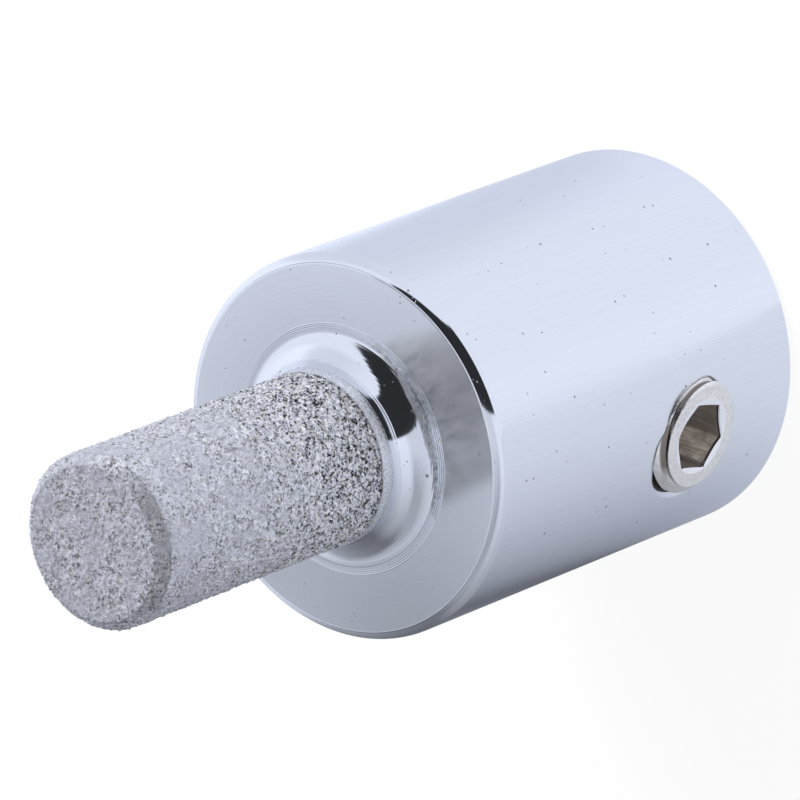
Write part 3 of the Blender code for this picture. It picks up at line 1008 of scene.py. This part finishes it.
def grit_finish():
    """Grains of uneven tone, worn smoother towards the tip, painted shade on one side of the tip's chamfer, and
    the tip's face a little darker.
    """
    mat = Material("silver_grit", (0.6, 0.6, 0.62), 0.75, 0.45)
    tone = mat.node("ShaderNodeAttribute", attribute_name="grain_tone").outputs["Fac"]
    chip = mat.along(mat.cells(14.0, "Color"), X)
    tone = mat.plus(mat.times(tone, 0.4), mat.times(chip, 0.6))
    height = mat.along(mat.place, Z)
    contrast = mat.spread(height, 21.5, 27.0, 1.6, 1.0)
    tone = mat.plus(mat.times(mat.maths("SUBTRACT", tone, 0.5), contrast), 0.5)
    grain = mat.ramp(tone, GRAIN_STOPS)
    stains = mat.spread(mat.noise(mat.place, 3.2, 3.0, 0.65), 0.56, 0.68, 0.0, 0.5)
    grain = mat.mix(stains, grain, (0.32, 0.285, 0.20))
    patches = mat.spread(mat.noise(mat.place, 0.8, 2.0, 0.5), 0.48, 0.62, 0.0, 0.45)
    patches = mat.times(patches, mat.spread(height, 23.0, 28.0))
    worn = mat.plus(mat.spread(height, 24.0, 31.0, 0.0, 0.3), patches)
    colour = mat.mix(worn, grain, (0.64, 0.65, 0.72))
    across = mat.stretch((1.0, 1.0, 0.0))
    radius = mat.vector("LENGTH", across)
    # Painted shade on one side of the tip's chamfer, and the tip's face made a little darker
    chamfer = mat.spread(mat.plus(radius, height), CHAMFER_SUM - 0.165, CHAMFER_SUM - 0.065)
    facing = mat.maths("DIVIDE", mat.along(across, SHADED_WAY), radius)
    chamfer_shade_and_darker_tip = mat.times(chamfer, mat.spread(facing, 0.45, 0.8, 0.0, 0.52))
    chamfer_shade_and_darker_tip = mat.maths("MAXIMUM", chamfer_shade_and_darker_tip, mat.spread(height, TIP_Z - 0.18, TIP_Z - 0.10, 0.0, 0.22))
    colour = mat.mix(chamfer_shade_and_darker_tip, colour, mat.vector("MULTIPLY", colour, (0.34, 0.33, 0.31)))
    fine = mat.noise(mat.place, 14.0, 2.0, 0.6)
    roughness = mat.spread(fine, 0.3, 0.7, 0.35, 0.65)
    bumps = mat.bump(mat.plus(fine, mat.cells(14.0)), 0.035, 0.6)
    return mat.set(Base_Color=colour, Roughness=roughness, Normal=bumps)


# -------- the object
core = make_core([plated_side(), turned_plating(), fillet_plating(), bore_metal(), neck_plating(), shaded_tapped_metal()])
grit = make_grit(grit_finish())
screw = make_screw([screw_steel(), mouth_steel(), socket_steel()])

for piece, body, node, slot in (
    (core, "core", "bit_core", "bright_plating"),
    (grit, "core", "diamond_coating", "bonded_grit"),
    (screw, "screw", "set_screw", "screw_steel"),
):
    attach(piece, body)
    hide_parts(node)


# -------- stage, light and camera
CAMERA_PLACE = Vector((128.383, -180.72, 266.82)) * MM
RIGHT = Vector((0.1149, -0.7782, -0.6174))
DOWN = Vector((-0.9178, -0.3209, 0.2337))
FORWARD = Vector((-0.3800, 0.5398, -0.7512))
SENSOR = 36.0
FOCAL_PIXELS = 8872.741
FRAME_PIXELS = 800


def make_camera():
    camera = add_object("camera", bpy.data.cameras.new("camera"))
    camera.data.sensor_width = SENSOR
    camera.data.lens = FOCAL_PIXELS * SENSOR / FRAME_PIXELS
    camera.data.clip_start = 0.01
    axes = Matrix((RIGHT.normalized(), -DOWN.normalized(), -FORWARD.normalized())).transposed()
    camera.matrix_world = Matrix.Translation(CAMERA_PLACE) @ axes.to_4x4()
    bpy.context.scene.camera = camera


# Brightness of the floor and the low walls that the plating mirrors, by the compass direction, in degrees. On the
# floor this is painted light: the bit's shadow and some brighter light painted in
STUDIO_LEVELS = [
    (-180, 0.19), (-176, 0.215), (-171, 0.29), (-161, 0.41), (-146, 0.53), (-131, 0.64), (-116, 0.75),
    (-100, 0.85), (-85, 0.92), (-70, 0.95), (-55, 0.975), (-40, 0.95), (0, 0.94), (36, 0.83), (51, 0.83),
    (66, 0.86), (82, 1.08), (105, 1.02), (120, 1.08), (150, 0.41), (168, 0.23), (180, 0.19),
]
# A curve node holds no more than 1, so it holds the levels as shares of this one
FULL_LEVEL = 1.2
# A painted shadow edge on the floor that the plating mirrors, as a point and a direction: on its left the floor is
# darker by a share
SHADOW_EDGE_PLACE = (0.00415, -0.00827)
SHADOW_EDGE_WAY = (0.2194, -0.9756)
SHADOW_EDGE_SHADE = 0.11
# The tint of the studio's light where the plating mirrors it
TINT = (0.93, 0.975, 1.105, 1.0)


def compass_level(nodes, place):
    """The studio's level in the compass direction of a place on the floor, or of a ray. On the floor it is the
    bit's shadow painted in.
    """
    compass = nodes.maths("ARCTAN2", nodes.along(place, Y), nodes.along(place, X))
    curve = nodes.node("ShaderNodeFloatCurve")
    nodes.put(curve.inputs["Value"], nodes.spread(compass, -math.pi, math.pi))
    points = curve.mapping.curves[0].points
    while len(points) < len(STUDIO_LEVELS):
        points.new(0.5, 0.5)
    for point, (degrees, level) in zip(points, STUDIO_LEVELS):
        point.location = ((degrees + 180) / 360, level / FULL_LEVEL)
        point.handle_type = "AUTO"
    curve.mapping.update()
    return nodes.times(curve.outputs["Value"], FULL_LEVEL)


def make_floor():
    """A white floor that keeps the bit's shadow. Where the plating mirrors it, the bit's shadow and a shadow edge
    are painted into its brightness. The camera sees through it from below.
    """
    half, z = 1.5, -0.02 * MM
    mesh = bpy.data.meshes.new("floor")
    mesh.from_pydata([(-half, -half, z), (half, -half, z), (half, half, z), (-half, half, z)], [], [(0, 1, 2, 3)])
    material = bpy.data.materials.new("floor")
    material.use_nodes = True
    nodes = Nodes(material.node_tree)
    nodes.tree.nodes.clear()
    place = nodes.node("ShaderNodeTexCoord").outputs["Object"]
    # The painted shadow edge, seen only where the plating mirrors the floor
    offset = -(SHADOW_EDGE_PLACE[0] * SHADOW_EDGE_WAY[1] - SHADOW_EDGE_PLACE[1] * SHADOW_EDGE_WAY[0])
    beyond = nodes.plus(nodes.along(place, (SHADOW_EDGE_WAY[1], -SHADOW_EDGE_WAY[0], 0.0)), offset)
    shade = nodes.spread(beyond, -0.0001, 0.0001, 1.0, 1.0 - SHADOW_EDGE_SHADE)
    # What the plating mirrors: the bit's shadow painted in by compass direction, darker beyond the painted shadow
    # edge
    mirrored = nodes.light("ShaderNodeEmission", nodes.times(compass_level(nodes, place), shade), Color=TINT)

    plain = nodes.node("ShaderNodeBsdfDiffuse")
    plain.inputs["Color"].default_value = (0.9, 0.9, 0.9, 1.0)
    seen = nodes.mix_shader(0.90, plain.outputs[0], nodes.light("ShaderNodeEmission", 1.0))
    rays = nodes.node("ShaderNodeLightPath").outputs
    whole = nodes.mix_shader(rays["Is Camera Ray"], plain.outputs[0], seen)
    whole = nodes.mix_shader(rays["Is Glossy Ray"], whole, mirrored)
    backside = nodes.node("ShaderNodeNewGeometry").outputs["Backfacing"]
    clear = nodes.node("ShaderNodeBsdfTransparent").outputs[0]
    whole = nodes.mix_shader(nodes.times(backside, rays["Is Camera Ray"]), whole, clear)
    nodes.put(nodes.node("ShaderNodeOutputMaterial").inputs["Surface"], whole)
    mesh.materials.append(material)
    floor = add_object("floor", mesh)


# The compass direction that the dark side of the studio spreads towards, from the upright plane at its edge
DARK_COMPASS = math.radians(25.0)
# The middle of a dim patch that the front face mirrors, and the plane of a dark seam beside it
DIM_WAY = (-0.461, 0.491, 0.739)
SEAM_NORMAL = (-0.610, -0.757, 0.236)


def make_world():
    world = bpy.data.worlds.new("studio")
    bpy.context.scene.world = world
    world.use_nodes = True
    nodes = Nodes(world.node_tree)
    nodes.tree.nodes.clear()
    way = nodes.node("ShaderNodeTexCoord").outputs["Generated"]
    across = nodes.along(way, (math.cos(DARK_COMPASS), math.sin(DARK_COMPASS), 0.0))
    beside = nodes.along(way, (-math.sin(DARK_COMPASS), math.cos(DARK_COMPASS), 0.0))

    # The dark side, from the upright plane to a far edge that bends back
    bend = nodes.maths("POWER", nodes.maths("MAXIMUM", nodes.plus(beside, 0.24), 0.0), 2.0)
    far_edge = nodes.maths("SUBTRACT", 0.74, nodes.times(bend, 0.98))
    dark = nodes.times(
        nodes.spread(across, -0.015, 0.012, soft=True),
        nodes.spread(nodes.maths("SUBTRACT", far_edge, across), -0.02, 0.02, soft=True),
        nodes.spread(beside, 0.52, 0.47, soft=True),
    )

    # The upper part of the studio, with the dim patch and the seam
    off_seam = nodes.maths("ABSOLUTE", nodes.along(way, SEAM_NORMAL))
    seam = nodes.times(
        nodes.spread(off_seam, 0.014, 0.004, soft=True), nodes.spread(beside, 0.665, 0.68, soft=True)
    )
    high = nodes.times(
        nodes.spread(across, -0.03, 0.03, 0.77, 0.95, soft=True),
        nodes.spread(across, -0.6, -0.22, 0.58, 1.0),
        nodes.spread(nodes.vector("DISTANCE", way, DIM_WAY), 0.02, 0.17, 0.45, 1.0),
        nodes.spread(seam, 0.0, 1.0, 1.0, 0.68),
    )

    blend = nodes.spread(nodes.along(way, Z), 0.45, 0.66, soft=True)
    low = nodes.times(compass_level(nodes, way), nodes.spread(blend, 0.0, 1.0, 1.0, 0.0))
    level = nodes.times(nodes.plus(nodes.times(high, blend), low), nodes.spread(dark, 0.0, 1.0, 1.0, 0.03))
    mirrored = nodes.light("ShaderNodeBackground", level, Color=TINT)
    rays = nodes.node("ShaderNodeLightPath").outputs
    ambient = nodes.light("ShaderNodeBackground", nodes.spread(rays["Is Camera Ray"], 0.0, 1.0, 0.55, 1.0))
    whole = nodes.mix_shader(rays["Is Glossy Ray"], ambient, mirrored)
    nodes.put(nodes.node("ShaderNodeOutputWorld").inputs["Surface"], whole)


LAMP_AIM = Vector((0.0, 0.0, 0.015))


def make_lamp(name, azimuth, elevation, distance, size, power):
    """A soft round lamp that faces the bit and isn't mirrored in it."""
    lamp = add_object(name, bpy.data.lights.new(name, "AREA"))
    lamp.data.shape = "DISK"
    lamp.data.size = size
    lamp.data.energy = power
    a, e = math.radians(azimuth), math.radians(elevation)
    way = Vector((math.cos(a) * math.cos(e), math.sin(a) * math.cos(e), math.sin(e)))
    lamp.location = way * distance + LAMP_AIM
    lamp.rotation_euler = way.to_track_quat("Z", "Y").to_euler()
    lamp.visible_glossy = False


make_camera()
make_floor()
make_world()
make_lamp("key_lamp", 28, 45, 0.6, 0.35, 4.4)
make_lamp("fill_lamp", -75, 50, 0.7, 0.3, 1.0)

bpy.context.scene.view_settings.view_transform = "Standard"
